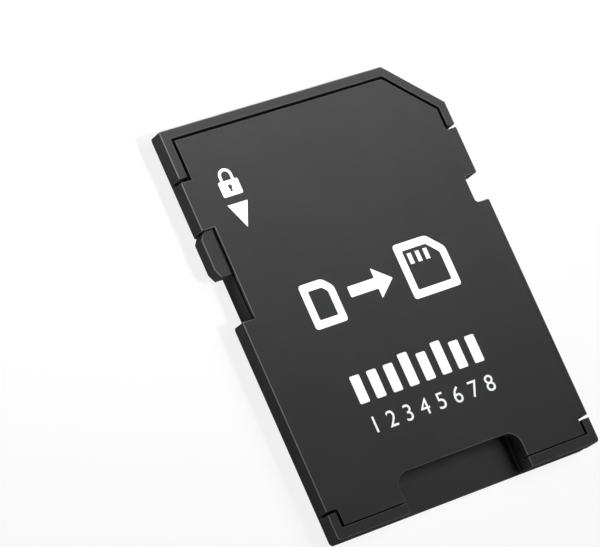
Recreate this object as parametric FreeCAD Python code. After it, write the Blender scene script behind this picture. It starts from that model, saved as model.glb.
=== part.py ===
import FreeCAD, Part
import math
import os
from FreeCAD import Vector

# A memory card adapter: a full-size card housing that takes a small memory card
# through a slot in its rear edge and brings its contacts out to gold pads at the front.
# Frame: millimetres, X across the card, Y from the slot towards the contact pads,
# Z from the contact face up to the label face, origin under the middle of the card.

# Outer form
card_width = 24.0
card_length = 32.0
card_thickness = 2.1
corner_cut = 4.0
flange_bottom = 0.7       # height of the step along both long sides
step_width = 0.36         # how far the contact side stands in from the flange
rear_corner_radius = 0.3
front_corner_radius = 0.08
edge_break = 0.05         # on the edges that a finger meets
gap_edge_break = 0.02     # on the edges that face the gap round the label plate

# The rims of the bottom shell and the gap round the label plate
rim_width = 0.70
rear_rim_width = 0.79
rim_gap = 0.25
rear_gap = 0.12
left_rim_length = 3.72    # measured back from the front edge
right_rim_length = 5.85
rear_rim_length = 1.95    # measured from the rear edge
left_nick = 0.33
right_nick = 0.25
rear_nick = 0.25
front_ledge = 0.85
rear_ledge = 0.7

# Label plate and the skirts under it
plate_thickness = 0.7
skirt_width = 0.7
plate_bottom = card_thickness - plate_thickness

# Slot for the small card, with the thumb notch over its mouth
slot_width = 11.12
slot_floor = 0.5
mouth_step = 0.06         # how far the mouth and the thumb notch stand out on each side
floor_bead = 0.08         # bevel along the foot of both slot walls
lead_room = 17.2          # from the front edge back to the slot's end
slot_wall = 0.9
stop_wall = 0.9
key_width = 1.3
key_share = 0.44          # of the slot's depth
thumb_notch_depth = 2.95
thumb_notch_radius = 1.1

# Contact windows on the underside, counted from the cut corner. The windows share the width
# that the ribs and margins leave.
pad_count = 9
rib_width = 0.667
last_window_extra = 0.89
window_margin = 0.83      # from the card's side to the window by the cut corner
last_window_margin = 1.20
window_length = 5.64      # back from the front edge
corner_window_length = 7.71
rib_end_radius = 0.22
lead_in_bevel = 0.16

# Stamped leads
lead_thickness = 0.15
pad_gap = 0.41            # between neighbouring pads, over a rib
pad_setback = 0.98        # from the front edge
long_pad_setback = 0.54
corner_pad_setback = 3.31
long_pads = (3, 4)        # the ground pad and the supply pad reach further forward
pad_tail = 0.46
pad_edge_margin = 0.22
trace_width = 0.4
trace_turn = 0.25
fork_slit = 0.36
fork_slit_offset = 0.18
strap_width = 0.6
strap_lift = 0.325
strap_ramp = 0.42
strap_foot = 0.75

# Spring fingers that press on the small card
finger_count = 8
finger_margin = 1.12      # from the slot's side, or the key block, to the first finger's middle
finger_share = 0.6        # of the fingers' pitch
groove_side_room = 0.08
groove_floor = 0.3
groove_length = 2.9       # forward of the slot's end
groove_past_tip = 0.35
finger_ramp_front = 2.5   # forward of the slot's end
finger_ramp_length = 0.75
finger_bend = 0.35
finger_crest_back = 3.3
finger_crest_height = 0.45
finger_tip_length = 0.85
finger_tip_drop = 0.3
finger_clearance = 0.03

# Lock slider, its recess and the rail behind it
recess_setback = 7.84     # from the front edge
recess_length = 7.22
recess_plate_x = 1.10     # the label plate's edge, measured in from the card's side
recess_rail_x = 1.16      # the rail's outer face
rail_width = 0.40
rail_top = 1.50
rail_overrun = 0.35
recess_cheek = 0.75
slide_clearance = 0.05
tongue_thickness = 0.25
slider_length = 3.50
slider_proud = 0.17       # how far the slider stands out of the card's side
slider_bottom = 0.62
slider_inner_gap = 0.08
slider_end_gap = 0.06
slider_front_chamfer = (0.40, 0.50)
slider_rear_chamfer = (0.30, 0.60)
slider_edge_break = 0.06
hook_depth = 0.45
hook_bottom = 1.10
hook_room = 0.25

# Side notch opposite the lock slider
side_notch_setback = 9.90
side_notch_length = 2.17
side_notch_depth = 1.20
side_notch_radius = 0.30
side_notch_lip = 0.13     # radius of its two outer corners
side_notch_wall = 0.7

# Clamp bars under the plate, and the posts that join the shells
clamp_bar_width = 0.9
front_clamp_setback = 4.4
corner_clamp_setback = 6.6
rear_clamp_reach = 3.5    # forward of the slot's end
clamp_end_margin = 0.4
post_radius = 0.7
pin_radius = 0.35
pin_height = 0.34
pin_clearance = 0.03
post_inset = 3.0          # from the card's side
post_setback = 4.0        # from the rear edge
post_recess_gap = 3.94    # from the lock recess back to the front posts

# Leaf spring that catches the small card's side notch
leaf_thickness = 0.12
leaf_height = 0.55
leaf_behind_key = 0.5
leaf_span = 3.6
leaf_inset = 0.42         # from the slot's side to the leaf's ends
leaf_bulge = 0.27         # how far its crest stands into the slot
leaf_pocket_depth = 0.62
leaf_tab = 0.45
leaf_flat = 0.5

half_width = card_width / 2
half_length = card_length / 2
cut_line = half_width + half_length - corner_cut
slot_side = slot_width / 2
mouth_side = slot_side + mouth_step
slot_end = half_length - lead_room
slot_depth = card_length - lead_room
key_length = key_share * slot_depth
lead_top = flange_bottom + lead_thickness
pocket_roof = rail_top + tongue_thickness + 2 * slide_clearance
crest_x = slot_side - leaf_bulge
finger_shift = -key_width / 2
finger_pitch = (slot_width - key_width - 2 * finger_margin) / (finger_count - 1)
finger_width = finger_share * finger_pitch
groove_width = finger_width + 2 * groove_side_room
window_width = (card_width - window_margin - last_window_margin - last_window_extra
                - (pad_count - 1) * rib_width) / pad_count
left_rim_end = half_length - left_rim_length
right_rim_end = half_length - right_rim_length
rear_rim_end = rear_rim_length - half_length
recess_front = half_length - recess_setback
recess_rear = recess_front - recess_length
side_notch_front = half_length - side_notch_setback
side_notch_rear = side_notch_front - side_notch_length
slot_rear = rear_rim_width - half_length
groove_front = slot_end + groove_length
rear_clamp_y = slot_end + rear_clamp_reach
leaf_front = slot_end - key_length - leaf_behind_key


def box(x0, x1, y0, y1, z0, z1):
    """Block between two opposite corners."""
    return Part.makeBox(x1 - x0, y1 - y0, z1 - z0, Vector(x0, y0, z0))


def rounded_wire(corners):
    """Closed outline in the plane z = 0 through (x, y, radius) corners."""
    points = [Vector(x, y, 0) for x, y, _ in corners]
    runs = []
    count = len(corners)
    for i in range(count):
        here, before, after = points[i], points[i - 1], points[(i + 1) % count]
        radius = corners[i][2]
        if radius == 0:
            runs.append((here, here, None))
            continue
        back = (before - here).normalize()
        ahead = (after - here).normalize()
        half = back.getAngle(ahead) / 2
        reach = radius / math.tan(half)
        centre = here + (back + ahead).normalize() * (radius / math.sin(half))
        middle = centre + (here - centre).normalize() * radius
        runs.append((here + back * reach, here + ahead * reach, middle))
    edges = []
    for i in range(count):
        start, end, middle = runs[i]
        if middle is not None:
            edges.append(Part.Arc(start, middle, end).toShape())
        following = runs[(i + 1) % count][0]
        if end.distanceToPoint(following) > 1e-6:
            edges.append(Part.LineSegment(end, following).toShape())
    return Part.Wire(edges)


def slab(corners, z0, z1):
    """Flat plate with the given outline, from z0 up to z1."""
    plate = Part.Face(rounded_wire(corners)).extrude(Vector(0, 0, z1 - z0))
    plate.translate(Vector(0, 0, z0))
    return plate


def card_outline(side, front, rear, cut, rear_radius=0, front_radius=0):
    """The card's outline in plan, moved in by a distance of its own on each kind of edge."""
    left, right = side - half_width, half_width - side
    top, bottom = half_length - front, rear - half_length
    line = cut_line - cut * math.sqrt(2)
    return [(left, bottom, rear_radius), (right, bottom, rear_radius),
            (right, line - right, 0), (line - top, top, 0), (left, top, front_radius)]


def outer_slab(side, z0, z1):
    """Plate with the card's own outline and its rounded corners."""
    return slab(card_outline(side, 0, 0, 0, rear_corner_radius, front_corner_radius), z0, z1)


def ribbon(points, width):
    """Outline of a band of constant width along a polyline, with mitred corners."""
    path = [Vector(a, b, 0) for a, b in points]
    sides = [[], []]
    for i, here in enumerate(path):
        before = (here - path[i - 1]).normalize() if i > 0 else None
        after = (path[i + 1] - here).normalize() if i < len(path) - 1 else None
        along = before or after
        if before and after:
            along = (before + after).normalize()
        across = Vector(-along.y, along.x, 0)
        lean = along.dot(after or before)
        for side, sign in zip(sides, (1, -1)):
            side.append(here + across * (sign * width / 2 / lean))
    return sides[0] + sides[1][::-1]


def flat_band(points, width, z0, z1):
    """Band that lies flat, following points in plan."""
    outline = Part.makePolygon(ribbon(points, width) + ribbon(points, width)[:1])
    band = Part.Face(outline).extrude(Vector(0, 0, z1 - z0))
    band.translate(Vector(0, 0, z0))
    return band


def bent_strip(points, thickness, x0, x1):
    """Bent strip whose side view follows (y, z) points, from x0 to x1."""
    loop = [Vector(x0, p.x, p.y) for p in ribbon(points, thickness)]
    return Part.Face(Part.makePolygon(loop + loop[:1])).extrude(Vector(x1 - x0, 0, 0))


def cross_strip(points, thickness, y0, y1):
    """Bent strip whose front view follows (x, z) points, from y0 to y1."""
    loop = [Vector(p.x, y0, p.y) for p in ribbon(points, thickness)]
    return Part.Face(Part.makePolygon(loop + loop[:1])).extrude(Vector(0, y1 - y0, 0))


def fuse_all(shapes):
    """One solid from several that touch."""
    joined = shapes[0]
    if len(shapes) > 1:
        joined = joined.multiFuse(shapes[1:])
    return joined.removeSplitter()


def cut_all(shape, tools):
    return shape.cut(tools)


def edges_where(shape, test):
    """Edges whose vertices all pass the test."""
    return [e for e in shape.Edges if all(test(v.Point) for v in e.Vertexes)]


def near(a, b):
    return abs(a - b) < 1e-4


def on_rim(p):
    """Whether a point lies on the card's outline, rounded corners included."""
    reach_x, reach_y = abs(p.x) - half_width, abs(p.y) - half_length
    return (reach_x > -rear_corner_radius and reach_y > -rear_corner_radius
            or near(reach_x, 0) or near(reach_y, 0) or near(p.x + p.y, cut_line))


def in_opening(p):
    """Whether a point lies on the edge of the thumb notch, lock recess or side notch."""
    thumb = abs(p.x) < mouth_side + 1e-3 and p.y < thumb_notch_depth - half_length + 1e-3
    recess = (p.x < recess_plate_x - half_width + 1e-3
              and recess_rear - 1e-3 < p.y < recess_front + 1e-3)
    side = (p.x > half_width - side_notch_depth - 1e-3
            and side_notch_rear - side_notch_lip - 1e-3 < p.y
            < side_notch_front + side_notch_lip + 1e-3)
    return thumb or recess or side


def break_top(shell):
    """Bevel on the label side: wider on outer edges than on those that face the gap."""
    outer = edges_where(shell, lambda p: near(p.z, card_thickness)
                        and (on_rim(p) or in_opening(p)))
    shell = shell.makeChamfer(edge_break, outer)
    inner = []
    for face in shell.Faces:
        if face.BoundBox.ZMax > card_thickness - 1e-4 and upright(face):
            inner += [e for e in face.Edges
                      if all(near(v.Point.z, card_thickness) for v in e.Vertexes)]
    return shell.makeChamfer(gap_edge_break, inner)


def upright(face):
    """Whether a face stands square to the label plate."""
    u0, u1, v0, v1 = face.ParameterRange
    return abs(face.normalAt((u0 + u1) / 2, (v0 + v1) / 2).z) < 1e-3


def round_lip(shell, side):
    """Rounds the side notch's two outer corners on the side face at that width."""
    lips = edges_where(shell, lambda p: near(p.x, side) and (
        near(p.y, side_notch_front) or near(p.y, side_notch_rear)))
    return shell.makeFillet(side_notch_lip, lips)


def window_sides():
    """The sides and rear end of each window, from the cut corner across."""
    rows = []
    right = half_width - window_margin
    for i in range(pad_count):
        width = window_width + (last_window_extra if i == pad_count - 1 else 0)
        rear = half_length - (corner_window_length if i == 0 else window_length)
        rows.append((right - width, right, rear))
        right -= width + rib_width
    return rows


def finger_x(i):
    """Middle of a spring finger, counted from the cut-corner side."""
    return finger_shift + finger_pitch * ((finger_count - 1) / 2 - i)


def finger_path():
    """Side view of a finger's middle line: down from the deck, along the groove, up to the crest."""
    deck = flange_bottom + lead_thickness / 2
    low = groove_floor + finger_clearance + lead_thickness / 2
    ramp = slot_end + finger_ramp_front
    crest = slot_end - finger_crest_back
    crest_z = slot_floor + finger_crest_height - lead_thickness / 2
    return [(groove_front + finger_clearance, deck), (ramp, deck), (ramp - finger_ramp_length, low),
            (slot_end - finger_bend, low), (crest + finger_bend, crest_z - 0.04),
            (crest, crest_z), (crest - finger_bend, crest_z - 0.08),
            (crest - finger_tip_length, crest_z - finger_tip_drop)]


def side_notch():
    """Tool for the notch in the right side, through the whole card."""
    inner = half_width - side_notch_depth
    outer = half_width + side_notch_depth
    return slab([(inner, side_notch_rear, side_notch_radius), (outer, side_notch_rear, 0),
                 (outer, side_notch_front, 0), (inner, side_notch_front, side_notch_radius)],
                -card_thickness, 2 * card_thickness)


def lead_plates():
    """The part of each lead over its window: left, right, rear and front, from the cut corner."""
    rows = []
    overlap = (rib_width - pad_gap) / 2
    for index, (left, right, rear) in enumerate(window_sides()):
        setback = pad_setback
        if index == 0:
            setback = corner_pad_setback
        elif index in long_pads:
            setback = long_pad_setback
        rows.append((left - overlap, right + overlap, rear - pad_tail, half_length - setback))
    return rows


def shell_base():
    """Contact side of the bottom shell, up to the step, with its windows and grooves."""
    base = outer_slab(step_width, 0, flange_bottom)
    windows = [box(left, right, rear, card_length, -1, 2 * card_thickness)
               for left, right, rear in window_sides()]
    base = cut_all(base, windows)
    sides = [x for left, right, _ in window_sides() for x in (left, right)]
    rib_ends = edges_where(base, lambda p: near(p.y, half_length)
                           and any(near(p.x, x) for x in sides))
    base = base.makeFillet(rib_end_radius, [e for e in rib_ends
                                            if near(e.Length, flange_bottom)])
    grooves = []
    tip = slot_end - finger_crest_back - finger_tip_length - groove_past_tip
    for i in range(finger_count):
        x = finger_x(i)
        grooves.append(box(x - groove_width / 2, x + groove_width / 2, tip, groove_front,
                           groove_floor, card_thickness))
    floor = box(-slot_side, slot_side, -card_length, slot_end, slot_floor, card_thickness)
    mouth = box(-mouth_side, mouth_side, -card_length, slot_rear, slot_floor, card_thickness)
    recess = box(-card_width, recess_rail_x - half_width, recess_rear, recess_front,
                 -card_thickness, card_thickness)
    return cut_all(base, grooves + [floor, mouth, recess])


def shell_rims():
    """Rims that show round the label plate, and the ledges under the plate's ends."""
    upright_part = outer_slab(0, flange_bottom, card_thickness)
    hollow = slab(card_outline(rim_width, rim_width, rear_rim_width, rim_width),
                  flange_bottom, card_thickness)
    ring = upright_part.cut(hollow)
    parts = [ring.common(box(-card_width, 0, left_rim_end, card_length, 0, card_length)),
             ring.common(box(0, card_width, right_rim_end, card_length, 0, card_length)),
             ring.common(box(-card_width, -mouth_side, -card_length, rear_rim_end,
                             0, card_length)),
             ring.common(box(mouth_side, card_width, -card_length, rear_rim_end,
                             0, card_length))]
    ledge = slab(card_outline(rim_width, rim_width, rear_rim_width, rim_width),
                 flange_bottom, plate_bottom)
    behind = slab(card_outline(rim_width, rim_width + front_ledge, rear_rim_width + rear_ledge,
                               rim_width + front_ledge), flange_bottom, plate_bottom)
    mouth = box(-slot_side, slot_side, -card_length, 0, 0, card_length)
    parts.append(ledge.cut([behind, mouth]))
    pockets = [box(left - finger_clearance, right + finger_clearance, rear,
                   front + finger_clearance, 0, lead_top + finger_clearance)
               for left, right, rear, front in lead_plates()[1:]]
    left, right, rear, front = lead_plates()[0]
    corner = box(left - finger_clearance, right + finger_clearance, rear,
                 front + finger_clearance, 0, lead_top + finger_clearance)
    inside = slab(card_outline(0, 0, 0, pad_edge_margin), 0, card_thickness)
    rims = fuse_all(parts).cut(pockets + [corner.common(inside)])
    return rims.cut(lead_in_bevels())


def lead_in_bevels():
    """Bevels on the front edge in each window, where a reader's contacts ride up."""
    tools = []
    for left, right, _ in window_sides()[1:]:
        y, z = half_length, flange_bottom
        loop = [Vector(left, y + lead_in_bevel, z - lead_in_bevel),
                Vector(left, y - lead_in_bevel, z - lead_in_bevel),
                Vector(left, y - lead_in_bevel, z), Vector(left, y, z + lead_in_bevel),
                Vector(left, y + lead_in_bevel, z + lead_in_bevel)]
        wedge = Part.Face(Part.makePolygon(loop + loop[:1]))
        tools.append(wedge.extrude(Vector(right - left, 0, 0)))
    return tools


def slot_walls():
    """Side walls, end stop, key block and foot bevels that guide the small card."""
    outer = slot_side + slot_wall
    walls = [box(-outer, -slot_side, slot_rear, slot_end, flange_bottom, plate_bottom),
             box(slot_side, outer, slot_rear, slot_end, flange_bottom, plate_bottom),
             box(-outer, outer, slot_end, slot_end + stop_wall, flange_bottom, plate_bottom),
             box(slot_side - key_width, slot_side, slot_end - key_length, slot_end,
                 slot_floor, plate_bottom)]
    for sign in (-1, 1):
        low, high = slot_floor, slot_floor + floor_bead
        loop = [Vector(sign * (slot_side - floor_bead), -half_length, low),
                Vector(sign * (mouth_side + floor_bead), -half_length, low),
                Vector(sign * (mouth_side + floor_bead), -half_length, high),
                Vector(sign * slot_side, -half_length, high)]
        bead = Part.Face(Part.makePolygon(loop + loop[:1]))
        walls.append(bead.extrude(Vector(0, slot_end + half_length, 0)))
    return walls


def leaf_pocket():
    """Pocket in the slot's right wall that holds the leaf spring."""
    rear = leaf_front - leaf_span
    z0 = flange_bottom
    pocket = box(slot_side - 1e-3, slot_side + leaf_pocket_depth, rear, leaf_front,
                 z0, plate_bottom)
    return pocket


def posts(hole_clearance=0.0):
    """Posts with locating pins; with a clearance, the matching holes in the plate."""
    solids = []
    post_x = half_width - post_inset
    for y in (post_setback - half_length, recess_rear - post_recess_gap):
        for x in (-post_x, post_x):
            if hole_clearance:
                solids.append(Part.makeCylinder(pin_radius + hole_clearance,
                                                pin_height + hole_clearance,
                                                Vector(x, y, plate_bottom)))
                continue
            solids.append(Part.makeCylinder(post_radius, plate_bottom - flange_bottom,
                                            Vector(x, y, flange_bottom)))
            solids.append(Part.makeCylinder(pin_radius, pin_height + plate_bottom - flange_bottom,
                                            Vector(x, y, flange_bottom)))
    return solids


def recess_rail():
    """Rail that the lock slider hooks over."""
    outer = recess_rail_x - half_width
    return box(outer, outer + rail_width, recess_rear - rail_overrun,
               recess_front + rail_overrun, flange_bottom, rail_top)


def bottom_shell():
    """Contact-side shell: base, rims, slot walls, posts and the slider's rail."""
    solids = [shell_base(), shell_rims(), recess_rail()] + slot_walls() + posts()
    shell = fuse_all(solids).cut([side_notch(), leaf_pocket()])
    shell = round_lip(shell.removeSplitter(), half_width - step_width)
    shell = break_top(shell)
    foot_edges = edges_where(shell, lambda p: near(p.z, 0) and (
        near(abs(p.x), half_width - step_width) or near(p.y, -half_length)))
    return shell.makeChamfer(edge_break, [e for e in foot_edges if e.Length > 1])


def clamp_bars():
    """Bars under the label plate that hold the leads down on the deck."""
    plates = lead_plates()
    left = plates[-1][0] + clamp_end_margin
    right = plates[1][1] - clamp_end_margin
    half = clamp_bar_width / 2
    front_clamp_y = half_length - front_clamp_setback
    corner_clamp_y = half_length - corner_clamp_setback
    fingers = finger_pitch * finger_count / 2
    corner_left, corner_right = plates[0][0] + clamp_end_margin / 2, plates[0][1]
    return [box(left, right, front_clamp_y - half, front_clamp_y + half, lead_top, plate_bottom),
            box(finger_shift - fingers, finger_shift + fingers, rear_clamp_y - half,
                rear_clamp_y + half, lead_top, plate_bottom),
            box(corner_left, corner_right, corner_clamp_y - half, corner_clamp_y + half,
                lead_top, plate_bottom)]


def flank(sign, front):
    """Side of the top shell between its two nicks: plate edge and skirt."""
    edge = half_width - rim_width - rim_gap
    outline = outer_slab(0, flange_bottom, card_thickness)
    rear = rear_rim_end + rear_nick
    upper = sorted((sign * edge, sign * half_width))
    lower = sorted((sign * (half_width - skirt_width), sign * half_width))
    return [outline.common(box(upper[0], upper[1], rear, front, plate_bottom, card_thickness)),
            outline.common(box(lower[0], lower[1], rear, front, flange_bottom, plate_bottom))]


def recess_cuts():
    """Tools that open the lock recess in the top shell and the pocket for the slider's hook."""
    edge = recess_plate_x - half_width
    inner = recess_rail_x - half_width + rail_width + hook_depth + hook_room + slide_clearance
    opening = box(-card_width, edge, recess_rear, recess_front, 0, 2 * card_thickness)
    pocket = box(edge - 1e-3, inner, recess_rear - rail_overrun - slide_clearance,
                 recess_front + rail_overrun + slide_clearance, 0, pocket_roof)
    return [opening, pocket]


def top_shell():
    """Label-side shell: plate, skirts, clamp bars and the walls round its cut-outs."""
    gap = rim_width + rim_gap
    plate = slab(card_outline(gap, gap, rear_rim_width + rear_gap, gap),
                 plate_bottom, card_thickness)
    edge = recess_plate_x - half_width
    cheeks = [box(-half_width, edge, recess_front, recess_front + recess_cheek,
                  flange_bottom, plate_bottom),
              box(-half_width, edge, recess_rear - recess_cheek, recess_rear,
                  flange_bottom, plate_bottom)]
    inner = half_width - side_notch_depth - side_notch_wall
    notch_wall = box(inner, half_width - skirt_width / 2, side_notch_rear - side_notch_wall,
                     side_notch_front + side_notch_wall, flange_bottom, plate_bottom)
    solids = [plate, notch_wall] + cheeks
    solids += flank(-1, left_rim_end - left_nick) + flank(1, right_rim_end - right_nick)
    shell = fuse_all(solids + clamp_bars())
    reach = half_length - thumb_notch_depth
    thumb = slab([(-mouth_side, -card_length, 0), (mouth_side, -card_length, 0),
                  (mouth_side, -reach, thumb_notch_radius),
                  (-mouth_side, -reach, thumb_notch_radius)], 0, 2 * card_thickness)
    shell = shell.cut(recess_cuts() + [thumb, side_notch()] + posts(pin_clearance))
    shell = break_top(round_lip(shell.removeSplitter(), half_width))
    foot_edges = edges_where(shell, lambda p: near(p.z, flange_bottom)
                             and near(abs(p.x), half_width))
    return shell.makeChamfer(edge_break, [e for e in foot_edges if e.Length > 1])


def lock_slider():
    """Sliding lock: a thumb block outside, a tongue over the rail and a hook behind it."""
    outer = -half_width - slider_proud
    inner = recess_plate_x - half_width - slider_end_gap / 2
    face = inner - slider_inner_gap / 2
    front = recess_front - slider_end_gap
    rear = front - slider_length
    top = rail_top + slide_clearance + tongue_thickness
    fx, fy = slider_front_chamfer
    rx, ry = slider_rear_chamfer
    block = slab([(outer, rear + ry, 0), (outer + rx, rear, 0), (face, rear, 0),
                  (face, front, 0), (outer + fx, front, 0), (outer, front - fy, 0)],
                 slider_bottom, top)
    lip = [e for e in edges_where(block, lambda p: near(p.z, top) and p.x < face - 1e-3)]
    block = block.makeChamfer(slider_edge_break, lip)
    rail_inner = recess_rail_x - half_width + rail_width + slide_clearance
    tongue = box(face - 1e-3, rail_inner + hook_depth, rear, front, top - tongue_thickness, top)
    hook = box(rail_inner, rail_inner + hook_depth, rear, front, hook_bottom, top)
    return fuse_all([block, tongue, hook])


def lead_plate(index):
    """Pad over one window, with its tail; corners stay clear of the cut corner."""
    left, right, rear, front = lead_plates()[index]
    plate = box(left, right, rear, front, flange_bottom, lead_top)
    inside = slab(card_outline(skirt_width + finger_clearance, 0, 0, pad_edge_margin),
                  0, card_thickness)
    return plate.common(inside)


def finger(index):
    """Spring finger, from the deck to its tip."""
    x = finger_x(index)
    return bent_strip(finger_path(), lead_thickness, x - finger_width / 2, x + finger_width / 2)


def trace(pad_index, finger_index):
    """Flat run from a pad's tail to a finger."""
    left, right, rear, _ = lead_plates()[pad_index]
    start, end = (left + right) / 2, finger_x(finger_index)
    turn = rear_clamp_y + clamp_bar_width / 2 + trace_turn
    path = [(start, rear + trace_width), (start, rear - trace_width), (end, turn),
            (end, groove_front)]
    return flat_band(path, trace_width, flange_bottom, lead_top)


def simple_lead(pad_index, finger_index):
    """Lead with one pad, one run and one finger."""
    return fuse_all([lead_plate(pad_index), trace(pad_index, finger_index),
                     finger(finger_index)])


def forked_lead(pad_index, finger_index):
    """Lead whose pad is split by a slit into two narrow fingers of gold."""
    left, right, rear = window_sides()[pad_index]
    middle = (left + right) / 2 - fork_slit_offset
    slit = box(middle - fork_slit / 2, middle + fork_slit / 2, rear, card_length,
               0, card_thickness)
    return simple_lead(pad_index, finger_index).cut(slit)


def ground_lead():
    """Two pads joined by a strap that bridges the two leads between them."""
    first, second = 3, 6
    rear = lead_plates()[first][2]
    middle = [(lead_plates()[i][0] + lead_plates()[i][1]) / 2 for i in (first, second)]
    low = flange_bottom + lead_thickness / 2
    high = low + strap_lift
    path = [(middle[0], low), (middle[0] - strap_foot, low),
            (middle[0] - strap_foot - strap_ramp, high),
            (middle[1] + strap_foot + strap_ramp, high),
            (middle[1] + strap_foot, low), (middle[1], low)]
    strap = cross_strip(path, lead_thickness, rear, rear + strap_width)
    return fuse_all([lead_plate(first), lead_plate(second), strap, trace(second, 5), finger(5)])


def detent_leaf():
    """Leaf spring in the slot's wall; its crest drops into the small card's side notch."""
    ends = slot_side + leaf_inset
    rear = leaf_front - leaf_span
    middle = leaf_front - leaf_span / 2
    inset = leaf_thickness / 2 + finger_clearance
    path = [(ends, leaf_front - inset), (ends, leaf_front - inset - leaf_tab),
            (crest_x + leaf_thickness / 2, middle + leaf_flat / 2),
            (crest_x + leaf_thickness / 2, middle - leaf_flat / 2),
            (ends, rear + inset + leaf_tab), (ends, rear + inset)]
    z0 = flange_bottom + (plate_bottom - flange_bottom - leaf_height) / 2
    return flat_band(path, leaf_thickness, z0, z0 + leaf_height)


def build():
    """Every piece by its node's name."""
    return {
        "bottom_shell": bottom_shell(),
        "top_shell": top_shell(),
        "lock_slider": lock_slider(),
        "data2_lead": simple_lead(0, 0),
        "data3_lead": simple_lead(1, 1),
        "command_lead": simple_lead(2, 2),
        "supply_lead": simple_lead(4, 3),
        "clock_lead": simple_lead(5, 4),
        "ground_lead": ground_lead(),
        "data0_lead": simple_lead(7, 6),
        "data1_lead": forked_lead(8, 7),
        "detent_leaf": detent_leaf(),
    }


os.makedirs("parts", exist_ok=True)
for name, shape in build().items():
    if len(shape.Solids) != 1 or not shape.isValid():
        print("check", name, "solids", len(shape.Solids), "valid", shape.isValid())
    shape.exportStep("parts/" + name + ".step")
    low, high = shape.BoundBox.ZMin, shape.BoundBox.ZMax
    print(name, "volume", round(shape.Volume, 3), "z", round(low, 3), round(high, 3))
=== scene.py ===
import bpy
import math
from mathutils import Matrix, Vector


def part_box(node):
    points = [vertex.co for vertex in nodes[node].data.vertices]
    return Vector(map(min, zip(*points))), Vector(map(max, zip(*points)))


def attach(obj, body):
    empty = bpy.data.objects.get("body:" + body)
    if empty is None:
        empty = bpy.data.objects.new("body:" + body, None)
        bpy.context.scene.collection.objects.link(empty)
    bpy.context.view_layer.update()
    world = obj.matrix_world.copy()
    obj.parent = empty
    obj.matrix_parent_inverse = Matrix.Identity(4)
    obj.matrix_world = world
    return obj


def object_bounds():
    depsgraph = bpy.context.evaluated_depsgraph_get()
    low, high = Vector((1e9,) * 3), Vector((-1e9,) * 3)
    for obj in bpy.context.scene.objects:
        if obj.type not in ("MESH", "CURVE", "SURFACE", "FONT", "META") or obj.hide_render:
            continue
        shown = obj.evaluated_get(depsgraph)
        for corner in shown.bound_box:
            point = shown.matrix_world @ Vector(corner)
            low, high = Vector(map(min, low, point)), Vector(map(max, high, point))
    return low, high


# A memory card adapter lying label side up on a pale table.
# Metres throughout, so mm turns the sizes below into Blender's own unit.

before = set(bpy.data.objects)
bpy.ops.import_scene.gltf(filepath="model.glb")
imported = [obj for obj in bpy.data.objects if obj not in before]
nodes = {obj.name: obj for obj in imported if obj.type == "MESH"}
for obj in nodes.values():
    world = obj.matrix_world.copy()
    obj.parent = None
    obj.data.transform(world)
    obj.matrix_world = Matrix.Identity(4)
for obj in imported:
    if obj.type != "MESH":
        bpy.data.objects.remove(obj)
cadLow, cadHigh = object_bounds()
mm = 0.001
print("frame loaded:", len(nodes), "nodes")


# Node trees

def newMaterial(name):
    material = bpy.data.materials.new(name)
    material.use_nodes = True
    tree = material.node_tree
    tree.nodes.clear()
    return material, tree


def addNode(tree, kind, place, **settings):
    node = tree.nodes.new(kind)
    node.location = place
    for key, value in settings.items():
        setattr(node, key, value)
    return node


def feed(tree, socket, value):
    # a number or a colour is set on the socket, and a node's output is linked to it
    if isinstance(value, (int, float)):
        socket.default_value = value
    elif isinstance(value, tuple):
        socket.default_value = (*value, 1)
    else:
        tree.links.new(value, socket)


def addMath(tree, place, operation, first, second):
    node = addNode(tree, "ShaderNodeMath", place, operation=operation)
    feed(tree, node.inputs[0], first)
    feed(tree, node.inputs[1], second)
    return node.outputs[0]


def addMix(tree, place, factor, first, second):
    mix = addNode(tree, "ShaderNodeMix", place, data_type="RGBA")
    tree.links.new(factor, mix.inputs["Factor"])
    feed(tree, mix.inputs["A"], first)
    feed(tree, mix.inputs["B"], second)
    return mix.outputs["Result"]


def addNoise(tree, place, coords, size, detail=3.0):
    # size is the width of one blotch in millimetres
    noise = addNode(tree, "ShaderNodeTexNoise", place)
    noise.inputs["Scale"].default_value = 1 / (size * mm)
    noise.inputs["Detail"].default_value = detail
    tree.links.new(coords, noise.inputs["Vector"])
    return noise.outputs["Fac"]


def addRange(tree, place, value, low, high, start=0.3, end=0.7):
    # start and end are where noise really begins and ends
    mapping = addNode(tree, "ShaderNodeMapRange", place)
    mapping.inputs["From Min"].default_value = start
    mapping.inputs["From Max"].default_value = end
    mapping.inputs["To Min"].default_value = low
    mapping.inputs["To Max"].default_value = high
    tree.links.new(value, mapping.inputs["Value"])
    return mapping.outputs["Result"]


def addBump(tree, place, height, depth, strength, under=None):
    # depth in millimetres; under is a bump that this one lies on
    bump = addNode(tree, "ShaderNodeBump", place)
    bump.inputs["Strength"].default_value = strength
    bump.inputs["Distance"].default_value = depth * mm
    tree.links.new(height, bump.inputs["Height"])
    if under is not None:
        tree.links.new(under, bump.inputs["Normal"])
    return bump.outputs["Normal"]


def addShader(tree, colour, roughness, normal):
    shader = addNode(tree, "ShaderNodeBsdfPrincipled", (-150, 100))
    tree.links.new(colour, shader.inputs["Base Color"])
    tree.links.new(roughness, shader.inputs["Roughness"])
    tree.links.new(normal, shader.inputs["Normal"])
    output = addNode(tree, "ShaderNodeOutputMaterial", (180, 100))
    tree.links.new(shader.outputs["BSDF"], output.inputs["Surface"])
    return shader


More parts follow.
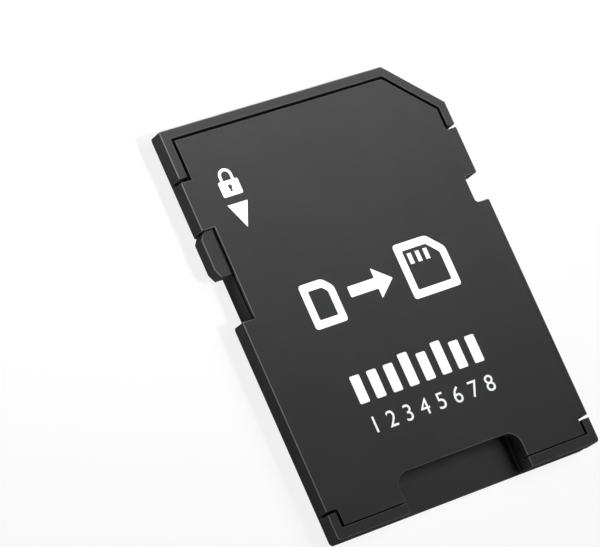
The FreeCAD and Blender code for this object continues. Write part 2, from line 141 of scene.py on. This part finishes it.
def addUpward(tree, place):
    # how far up the face looks: 1 straight up, 0 sideways, -1 straight down
    x, y = place
    geometry = addNode(tree, "ShaderNodeNewGeometry", (x, y))
    axes = addNode(tree, "ShaderNodeSeparateXYZ", (x + 180, y))
    tree.links.new(geometry.outputs["True Normal"], axes.inputs[0])
    return axes.outputs["Z"]


contactSide = -0.3            # a face that looks further down than this is on the contact side


def addOpenness(tree, place, reach, span):
    # 0 in a gap, 1 in the open. reach is how far it feels for other faces, in millimetres, and
    # span is the free share of its surroundings that counts as 0 and as 1. The contact side is
    # always open, because it only has the table close to it.
    x, y = place
    around = addNode(tree, "ShaderNodeAmbientOcclusion", (x, y), samples=8, only_local=False)
    around.inputs["Distance"].default_value = reach * mm
    clear = addRange(tree, (x + 180, y), around.outputs["AO"], 0, 1, *span)
    upward = addUpward(tree, (x - 200, y - 200))
    under = addMath(tree, (x + 180, y - 200), "LESS_THAN", upward, contactSide)
    return addMath(tree, (x + 400, y), "MAXIMUM", clear, under)


def addSeen(tree, place):
    # 1 for what the camera sees, straight or by way of metal and glass
    x, y = place
    path = addNode(tree, "ShaderNodeLightPath", (x, y)).outputs
    seen = addMath(tree, (x + 200, y), "MAXIMUM", path["Is Camera Ray"], path["Is Glossy Ray"])
    return addMath(tree, (x + 380, y), "MAXIMUM", seen, path["Is Transmission Ray"])


# Moulded plastic of the two shells and the slider

shellPlastic = {
    "colour": (0.0385, 0.0385, 0.0389),
    "paleColour": (0.0415, 0.0415, 0.0419),
    "flowSize": 3.5,
    # the next settings paint a highlight along the edges, palest on those that lean towards the front left
    "edgeHighlightColour": (0.220, 0.220, 0.224),
    "edgeRadius": 0.045,
    "edgeTurn": (0.86, 0.995),     # cosine of the turn where an edge gets the full painted highlight, and none
    "chamferHighlight": [(0.40, 0), (0.50, 1), (0.88, 1), (0.96, 0)],    # painted highlight on chamfers, by how far up a face looks
    # painted highlight: the side the light comes from, so edges that lean that way are painted palest
    "highlightSide": (-0.79, 0.61, 0),
    "highlightLean": 0.56,       # an edge leaning this far to that side gets the most painted highlight, away from it the least
    "leastHighlight": 0.20,
    "shelter": 0.60,          # an edge this near to another face gets no painted highlight, and a face this near gets painted shade
    "shelterSpan": (0.68, 0.88),
    # painted shade: gaps and hollow corners are darkened towards this colour
    "gapShadeColour": (0.0040, 0.0040, 0.0041),
    "gapShadeSpan": (0.16, 0.54),
    "roughness": (0.40, 0.47),
    "specular": 0.0,          # matt: no bright table in the walls that face away from the light
    "grainSize": 0.11,
    "grainDepth": 0.0016,
    "sinkSize": 9.0,
    "sinkDepth": 0.0040,
    "bumpStrength": 0.5,
}

# the slider's painted edge highlight is a little dimmer
sliderPlastic = dict(shellPlastic, edgeHighlightColour=(0.180, 0.180, 0.183), roughness=(0.36, 0.44))


def addEdgeMask(tree, place, look):
    # 1 where an edge gets a painted highlight, 0 on a flat face or down in a gap
    x, y = place

    # the chamfers round the label face slope halfway between up and sideways
    chamfer = addNode(tree, "ShaderNodeValToRGB", (x + 540, y))
    tree.links.new(addUpward(tree, (x, y)), chamfer.inputs["Fac"])
    elements = chamfer.color_ramp.elements
    for position, level in look["chamferHighlight"][1:-1]:
        elements.new(position)
    for element, (position, level) in zip(elements, look["chamferHighlight"]):
        element.position = position
        element.color = (level, level, level, 1)

    # sharp edges: the rounded normal leans away from the face's own
    soft = addNode(tree, "ShaderNodeBevel", (x + 180, y - 260), samples=6)
    soft.inputs["Radius"].default_value = look["edgeRadius"] * mm
    geometry = addNode(tree, "ShaderNodeNewGeometry", (x, y - 260))
    turn = addNode(tree, "ShaderNodeVectorMath", (x + 360, y - 260), operation="DOT_PRODUCT")
    tree.links.new(soft.outputs["Normal"], turn.inputs[0])
    tree.links.new(geometry.outputs["True Normal"], turn.inputs[1])
    sharp = addRange(tree, (x + 540, y - 260), turn.outputs["Value"], 1, 0, *look["edgeTurn"])
    edge = addMath(tree, (x + 840, y - 120), "MAXIMUM", chamfer.outputs["Color"], sharp)

    # painted highlight: edges that lean towards the front left, where the light comes from, are
    # painted palest, and those that lean away least
    lean = addNode(tree, "ShaderNodeVectorMath", (x + 540, y - 480), operation="DOT_PRODUCT")
    tree.links.new(soft.outputs["Normal"], lean.inputs[0])
    lean.inputs[1].default_value = look["highlightSide"]
    towardLight = addRange(tree, (x + 840, y - 350), lean.outputs["Value"], look["leastHighlight"], 1,
                      start=-look["highlightLean"], end=look["highlightLean"])
    share = addMath(tree, (x + 1020, y - 120), "MULTIPLY", edge, towardLight)

    # no painted highlight on the edges down in a gap
    free = addOpenness(tree, (x + 540, y - 700), look["shelter"], look["shelterSpan"])
    return addMath(tree, (x + 1200, y - 200), "MULTIPLY", share, free)


def makePlastic(name, look):
    material, tree = newMaterial(name)
    coords = addNode(tree, "ShaderNodeTexCoord", (-1300, 0)).outputs["Object"]
    flow = addNoise(tree, (-1000, 250), coords, look["flowSize"])
    grain = addNoise(tree, (-1000, -50), coords, look["grainSize"], detail=4.0)
    sink = addNoise(tree, (-1000, -350), coords, look["sinkSize"], detail=1.0)

    # flow marks vary the charcoal a little, and a painted highlight pales the edges
    body = addMix(tree, (-650, 300), addRange(tree, (-820, 300), flow, 0, 1),
                  look["colour"], look["paleColour"])
    highlighted = addMix(tree, (-420, 350), addEdgeMask(tree, (-1900, 900), look), body, look["edgeHighlightColour"])

    # painted shade: the gaps between the shells and the hollow corners are darkened to nearly black
    free = addOpenness(tree, (-900, 1500), look["shelter"], look["gapShadeSpan"])
    colour = addMix(tree, (-240, 450), free, look["gapShadeColour"], highlighted)

    wave = addBump(tree, (-620, -350), sink, look["sinkDepth"], look["bumpStrength"])
    bump = addBump(tree, (-420, -120), grain, look["grainDepth"], look["bumpStrength"], under=wave)
    roughness = addRange(tree, (-650, 60), grain, *look["roughness"])
    shader = addShader(tree, colour, roughness, bump)
    shader.inputs["Specular IOR Level"].default_value = look["specular"]
    return material


# Gold on the leads, and the steel of the leaf spring

contactGold = {
    "colour": (1.0, 0.83, 0.30),
    "deepColour": (0.93, 0.70, 0.20),
    "tintSize": 1.1,
    "roughness": (0.26, 0.38),
    "rollLength": 1.4,        # rolling marks run along the strip
    "rollWidth": 0.03,
    "rollDepth": 0.0010,
    "bumpStrength": 0.4,
    # painted shade: metal shut in between the shells is darkened towards this colour
    "hiddenShadeColour": (0.010, 0.008, 0.004),
    "hiddenShadeReach": 2.0,
    "hiddenShadeSpan": (0.35, 0.80),
}

# the steel gets the same painted shade between the shells, in a dark grey
springSteel = dict(contactGold, colour=(0.62, 0.62, 0.60), deepColour=(0.50, 0.50, 0.49),
                   roughness=(0.24, 0.36), rollLength=1.2, hiddenShadeColour=(0.012, 0.012, 0.012))


def makeMetal(name, look):
    material, tree = newMaterial(name)
    coords = addNode(tree, "ShaderNodeTexCoord", (-1300, 0)).outputs["Object"]
    stretch = addNode(tree, "ShaderNodeMapping", (-1120, 0))
    stretch.inputs["Scale"].default_value = (1, look["rollWidth"] / look["rollLength"], 1)
    tree.links.new(coords, stretch.inputs["Vector"])
    rolled = addNoise(tree, (-900, 0), stretch.outputs["Vector"], look["rollWidth"], detail=2.0)
    tint = addNoise(tree, (-900, 260), coords, look["tintSize"])
    clean = addMix(tree, (-650, 400), addRange(tree, (-820, 400), tint, 0, 1),
                   look["colour"], look["deepColour"])

    # painted shade: metal shut in between the shells is darkened where little light reaches it
    free = addOpenness(tree, (-1300, 700), look["hiddenShadeReach"], look["hiddenShadeSpan"])
    colour = addMix(tree, (-420, 500), free, look["hiddenShadeColour"], clean)

    bump = addBump(tree, (-420, -120), rolled, look["rollDepth"], look["bumpStrength"])
    roughness = addRange(tree, (-650, 0), rolled, *look["roughness"])
    shader = addShader(tree, colour, roughness, bump)
    shader.inputs["Metallic"].default_value = 1.0
    return material


# White screen printing ink on the label face

printInk = {
    "under": 0.006,           # millimetres below and above the label face
    "over": 0.010,
    "colour": (0.93, 0.93, 0.93),
    "thinColour": (0.88, 0.88, 0.88),
    "patchSize": 0.5,
    "roughness": (0.42, 0.58),
    "meshSize": 0.06,         # weave of the screen
    "meshDepth": 0.0010,
    "bumpStrength": 0.4,
}


def makeInk(name, look):
    material, tree = newMaterial(name)
    coords = addNode(tree, "ShaderNodeTexCoord", (-1100, 0)).outputs["Object"]
    patch = addNoise(tree, (-850, 220), coords, look["patchSize"])
    weave = addNoise(tree, (-850, -60), coords, look["meshSize"], detail=1.0)
    colour = addMix(tree, (-420, 220), addRange(tree, (-620, 220), patch, 0, 1),
                    look["colour"], look["thinColour"])
    bump = addBump(tree, (-400, -120), weave, look["meshDepth"], look["bumpStrength"])
    addShader(tree, colour, addRange(tree, (-620, 0), weave, *look["roughness"]), bump)
    return material


plastic = makePlastic("moulded charcoal plastic", shellPlastic)
slider = makePlastic("slider plastic", sliderPlastic)
gold = makeMetal("gold plated strip", contactGold)
steel = makeMetal("spring steel strip", springSteel)
ink = makeInk("white print", printInk)

finishes = {"bottom_shell": plastic, "top_shell": plastic, "lock_slider": slider, "detent_leaf": steel}
for name, obj in nodes.items():
    obj.data.materials.clear()
    obj.data.materials.append(finishes.get(name, gold))
print("finishes:", len(bpy.data.materials), "materials on", len(nodes), "nodes")


# Marks printed on the label face. Places are millimetres on the card, seen from the label side.

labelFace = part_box("top_shell")[1].z
inkMiddle = labelFace + (printInk["over"] - printInk["under"]) / 2 * mm
inkHalf = (printInk["over"] + printInk["under"]) / 2 * mm


def rectangle(x0, x1, y0, y1):
    return [(x0, y0), (x1, y0), (x1, y1), (x0, y1)]


def arcPoints(x, y, radius, start, end, steps):
    # points on a circle from one angle to another, in degrees
    angles = [math.radians(start + (end - start) * k / steps) for k in range(steps + 1)]
    return [(x + radius * math.cos(a), y + radius * math.sin(a)) for a in angles]


sideShare = 0.45              # the most of a side that a rounded corner may take


def rounded(points, radius, steps=5):
    # the same outline with every corner rounded by a short arc
    outline = []
    count = len(points)
    for i in range(count):
        here = Vector(points[i])
        back = Vector(points[i - 1]) - here
        ahead = Vector(points[(i + 1) % count]) - here
        reach = min(radius, back.length * sideShare, ahead.length * sideShare)
        start = here + back.normalized() * reach
        end = here + ahead.normalized() * reach
        for k in range(steps + 1):
            t = k / steps
            outline.append(tuple(start * (1 - t) ** 2 + here * 2 * t * (1 - t) + end * t * t))
    return outline


def finishMark(mark):
    bpy.context.scene.collection.objects.link(mark)
    mark.data.materials.append(ink)
    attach(mark, "housing")


def printMark(name, outlines):
    # a filled flat curve; an outline inside another leaves a hole
    curve = bpy.data.curves.new(name, "CURVE")
    curve.dimensions = "2D"
    curve.fill_mode = "BOTH"
    curve.extrude = inkHalf
    for outline in outlines:
        spline = curve.splines.new("POLY")
        spline.points.add(len(outline) - 1)
        for point, (x, y) in zip(spline.points, outline):
            point.co = (x * mm, y * mm, 0, 1)
        spline.use_cyclic_u = True
    mark = bpy.data.objects.new(name, curve)
    mark.location.z = inkMiddle
    finishMark(mark)


# The lock's sign: a closed padlock over an arrow that points the way the slider locks

lockSign = {
    "centre": (-8.36, 10.55),
    "bodyWidth": 1.70,
    "bodyHeight": 1.20,
    "bodyCorner": 0.16,
    "shackleWidth": 1.16,
    "shackleHeight": 0.95,
    "shackleFoot": 0.02,      # sunk in the body
    "stroke": 0.22,
    "keyhole": (0.17, 0.10),  # radius, and how far over the centre
    "keyholeArc": (-54, 234),
    "keySlot": (0.08, 0.30),  # half of its width, and how far under the centre it ends
    "arrow": [(-9.22, 9.34), (-7.47, 9.34), (-8.36, 7.43)],
}


def shackleOutline(look):
    # inverted U of even stroke, its feet in the body's top edge
    x, y = look["centre"]
    foot = y + look["bodyHeight"] / 2 - look["shackleFoot"]
    outer = look["shackleWidth"] / 2
    inner = outer - look["stroke"]
    spring = foot + look["shackleHeight"] - outer
    outside = arcPoints(x, spring, outer, 0, 180, steps=20)
    inside = arcPoints(x, spring, inner, 180, 0, steps=20)
    return ([(x + outer, foot)] + outside + [(x - outer, foot), (x - inner, foot)]
            + inside + [(x + inner, foot)])


def bodyOutlines(look):
    x, y = look["centre"]
    w, h = look["bodyWidth"] / 2, look["bodyHeight"] / 2
    radius, over = look["keyhole"]
    side, under = look["keySlot"]
    hole = arcPoints(x, y + over, radius, *look["keyholeArc"], steps=16)
    keyhole = hole + [(x - side, y - under), (x + side, y - under)]
    return [rounded(rectangle(x - w, x + w, y - h, y + h), look["bodyCorner"]), keyhole]


printMark("padlock_body", bodyOutlines(lockSign))
printMark("padlock_shackle", [shackleOutline(lockSign)])
printMark("lock_arrow", [lockSign["arrow"]])
print("lock sign printed")


# The large sign: a small card, an arrow, and the card it goes into

insertSign = {
    "stroke": 0.62,
    "outerCorner": 0.30,
    "innerCorner": 0.12,
    "smallCard": (-6.60, -3.75, -1.35, 2.15),    # left, right, bottom and top
    "smallCut": 0.75,
    "arrow": (-2.75, 1.20, 0.55),                # tail, tip and middle line
    "arrowShaft": 0.42,       # half of its thickness
    "arrowHead": 1.20,        # half of its width
    "arrowPoint": 1.25,       # length of the head, in halves of its width
    "arrowCorner": 0.10,
    "largeCard": (2.25, 6.55, -1.55, 2.80),
    "largeCut": 1.25,
    "contacts": 3,
    "contactHeight": 0.85,
    "contactMargins": (0.30, 0.95, 0.28),        # left, right and top, inside the frame
}


def cardOutline(x0, x1, y0, y1, cut):
    return [(x0, y0), (x1, y0), (x1, y1 - cut), (x1 - cut, y1), (x0, y1)]


def cardFrame(box, cut, look):
    # outline of even stroke; the slanted corner is set in by the same distance as the sides
    x0, x1, y0, y1 = box
    stroke = look["stroke"]
    innerCut = cut - stroke * (2 - math.sqrt(2))
    outer = cardOutline(x0, x1, y0, y1, cut)
    inner = cardOutline(x0 + stroke, x1 - stroke, y0 + stroke, y1 - stroke, innerCut)
    return [rounded(outer, look["outerCorner"]), rounded(inner, look["innerCorner"])]


def arrowOutline(look):
    x0, x1, y = look["arrow"]
    shaft, head = look["arrowShaft"], look["arrowHead"]
    neck = x1 - head * look["arrowPoint"]
    corners = [(x0, y - shaft), (neck, y - shaft), (neck, y - head), (x1, y),
               (neck, y + head), (neck, y + shaft), (x0, y + shaft)]
    return rounded(corners, look["arrowCorner"])


def contactOutlines(look):
    # short contacts hanging from the large card's top edge inside its frame
    left, right, bottom, top = look["largeCard"]
    leftMargin, rightMargin, topMargin = look["contactMargins"]
    left += look["stroke"] + leftMargin
    right -= look["stroke"] + rightMargin
    top -= look["stroke"] + topMargin
    bottom = top - look["contactHeight"]
    width = (right - left) / (2 * look["contacts"] - 1)
    return [rectangle(left + 2 * i * width, left + (2 * i + 1) * width, bottom, top)
            for i in range(look["contacts"])]


smallFrame = cardFrame(insertSign["smallCard"], insertSign["smallCut"], insertSign)
largeFrame = cardFrame(insertSign["largeCard"], insertSign["largeCut"], insertSign)
printMark("small_card_sign", smallFrame)
printMark("insert_arrow", [arrowOutline(insertSign)])
printMark("large_card_sign", largeFrame + contactOutlines(insertSign))
print("insert sign printed")


# The small card's eight contacts, with their numbers under them

contactSign = {
    "count": 8,
    "left": -5.75,
    "pitch": 1.50,
    "width": 0.86,
    "corner": 0.14,
    "top": -5.30,
    "bottom": -7.45,
    "longer": 0.40,           # the supply and ground contacts stand higher
    "longOnes": (3, 5),
    "numberHeight": 1.30,
    "fontSize": 1.37,         # of Blender's own font, for each millimetre of a number's height
    "numberLine": -9.75,
}


def printContacts(look):
    outlines = []
    for i in range(look["count"]):
        x0 = look["left"] + i * look["pitch"]
        top = look["top"] + (look["longer"] if i in look["longOnes"] else 0)
        bar = rectangle(x0, x0 + look["width"], look["bottom"], top)
        outlines.append(rounded(bar, look["corner"]))
    printMark("contact_bars", outlines)


def printNumbers(look):
    for i in range(look["count"]):
        name = "contact_number_%d" % (i + 1)
        words = bpy.data.curves.new(name, "FONT")
        words.body = str(i + 1)
        words.align_x = "CENTER"
        words.size = look["numberHeight"] * look["fontSize"] * mm
        words.extrude = inkHalf
        number = bpy.data.objects.new(name, words)
        x = look["left"] + i * look["pitch"] + look["width"] / 2
        number.location = (x * mm, look["numberLine"] * mm, inkMiddle)
        finishMark(number)


printContacts(contactSign)
printNumbers(contactSign)
print("contact sign printed")


# Table, world and lamps

table = {
    "size": 3.0,              # metres
    "drop": 0.02,             # millimetres under the card
    "colour": (0.86, 0.86, 0.86),
    "whiteShare": 0.86,       # how much of what is seen is plain white rather than lit table
}


def makeTable(look):
    half = look["size"] / 2
    z = cadLow.z - look["drop"] * mm
    corners = [(-half, -half, z), (half, -half, z), (half, half, z), (-half, half, z)]
    mesh = bpy.data.meshes.new("table_top")
    mesh.from_pydata(corners, [], [(0, 1, 2, 3)])
    top = bpy.data.objects.new("table_top", mesh)
    bpy.context.scene.collection.objects.link(top)

    material, tree = newMaterial("pale table")
    share = addMath(tree, (-480, 200), "MULTIPLY", addSeen(tree, (-1060, 200)), look["whiteShare"])
    lit = addNode(tree, "ShaderNodeBsdfDiffuse", (-480, 0))
    feed(tree, lit.inputs["Color"], look["colour"])
    white = addNode(tree, "ShaderNodeEmission", (-480, -150))
    mix = addNode(tree, "ShaderNodeMixShader", (-250, 100))
    tree.links.new(share, mix.inputs[0])
    tree.links.new(lit.outputs[0], mix.inputs[1])
    tree.links.new(white.outputs[0], mix.inputs[2])

    # the table is clear from below and to the lamps' light, so the contact side can be seen there
    geometry = addNode(tree, "ShaderNodeNewGeometry", (-480, 420)).outputs
    path = addNode(tree, "ShaderNodeLightPath", (-480, 760)).outputs
    through = addMath(tree, (-250, 320), "MAXIMUM", geometry["Backfacing"], path["Is Shadow Ray"])
    glass = addNode(tree, "ShaderNodeBsdfTransparent", (-250, -60))
    final = addNode(tree, "ShaderNodeMixShader", (-20, 150))
    tree.links.new(through, final.inputs[0])
    tree.links.new(mix.outputs[0], final.inputs[1])
    tree.links.new(glass.outputs[0], final.inputs[2])
    output = addNode(tree, "ShaderNodeOutputMaterial", (200, 150))
    tree.links.new(final.outputs[0], output.inputs["Surface"])
    mesh.materials.append(material)


sky = {"colour": (1.0, 1.0, 1.0), "fill": 0.10}


def makeSky(look):
    # white where it is seen, and only a faint fill on the card
    world = bpy.data.worlds.new("studio")
    world.use_nodes = True
    bpy.context.scene.world = world
    tree = world.node_tree
    tree.nodes.clear()
    strength = addRange(tree, (-140, 200), addSeen(tree, (-700, 200)), look["fill"], 1, start=0, end=1)
    background = addNode(tree, "ShaderNodeBackground", (60, 100))
    feed(tree, background.inputs["Color"], look["colour"])
    tree.links.new(strength, background.inputs["Strength"])
    output = addNode(tree, "ShaderNodeOutputWorld", (260, 100))
    tree.links.new(background.outputs[0], output.inputs["Surface"])


# place and aim in millimetres, size of the square lamp in millimetres, power in watts, and
# the angle of the beam in degrees where it is narrow
lamps = {
    "key": {"place": (262, 40, 365), "aim": (0, 0, 0), "size": 220, "power": 1.30},
    "front_glow": {"place": (160, -110, 400), "aim": (-10, 75, 0), "size": 60, "power": 0.128, "beam": 18},
    "side_fill": {"place": (-210, -50, -30), "aim": (0, 0, 0), "size": 60, "power": 0.08},
    "under_fill": {"place": (25, -25, -160), "aim": (0, 0, 0), "size": 140, "power": 0.320},
}


def makeLamp(name, look):
    light = bpy.data.lights.new(name, "AREA")
    light.size = look["size"] * mm
    light.energy = look["power"]
    light.spread = math.radians(look.get("beam", 180))
    lamp = bpy.data.objects.new(name, light)
    lamp.visible_camera = False
    place, aim = Vector(look["place"]), Vector(look["aim"])
    lamp.location = place * mm
    lamp.rotation_euler = (place - aim).to_track_quat("Z", "Y").to_euler()
    bpy.context.scene.collection.objects.link(lamp)


makeTable(table)
makeSky(sky)
for name, look in lamps.items():
    makeLamp(name, look)
print("table, sky and", len(lamps), "lamps")


# Camera, placed where the photograph was taken from

camera = {
    "place": (-137.787, -36.862, 211.063),
    "turn": (22.1703, -25.6324, -26.4670),
    "lens": 208.87,
    "sensor": 36,
    "nearest": 10,            # millimetres
}

cam = bpy.data.cameras.new("camera")
cam.sensor_fit = "HORIZONTAL"
cam.sensor_width = camera["sensor"]
cam.lens = camera["lens"]
cam.clip_start = camera["nearest"] * mm
eye = bpy.data.objects.new("camera", cam)
eye.location = Vector(camera["place"]) * mm
eye.rotation_euler = [math.radians(a) for a in camera["turn"]]
bpy.context.scene.collection.objects.link(eye)
bpy.context.scene.camera = eye
bpy.context.scene.view_settings.view_transform = "Standard"
print("camera placed")
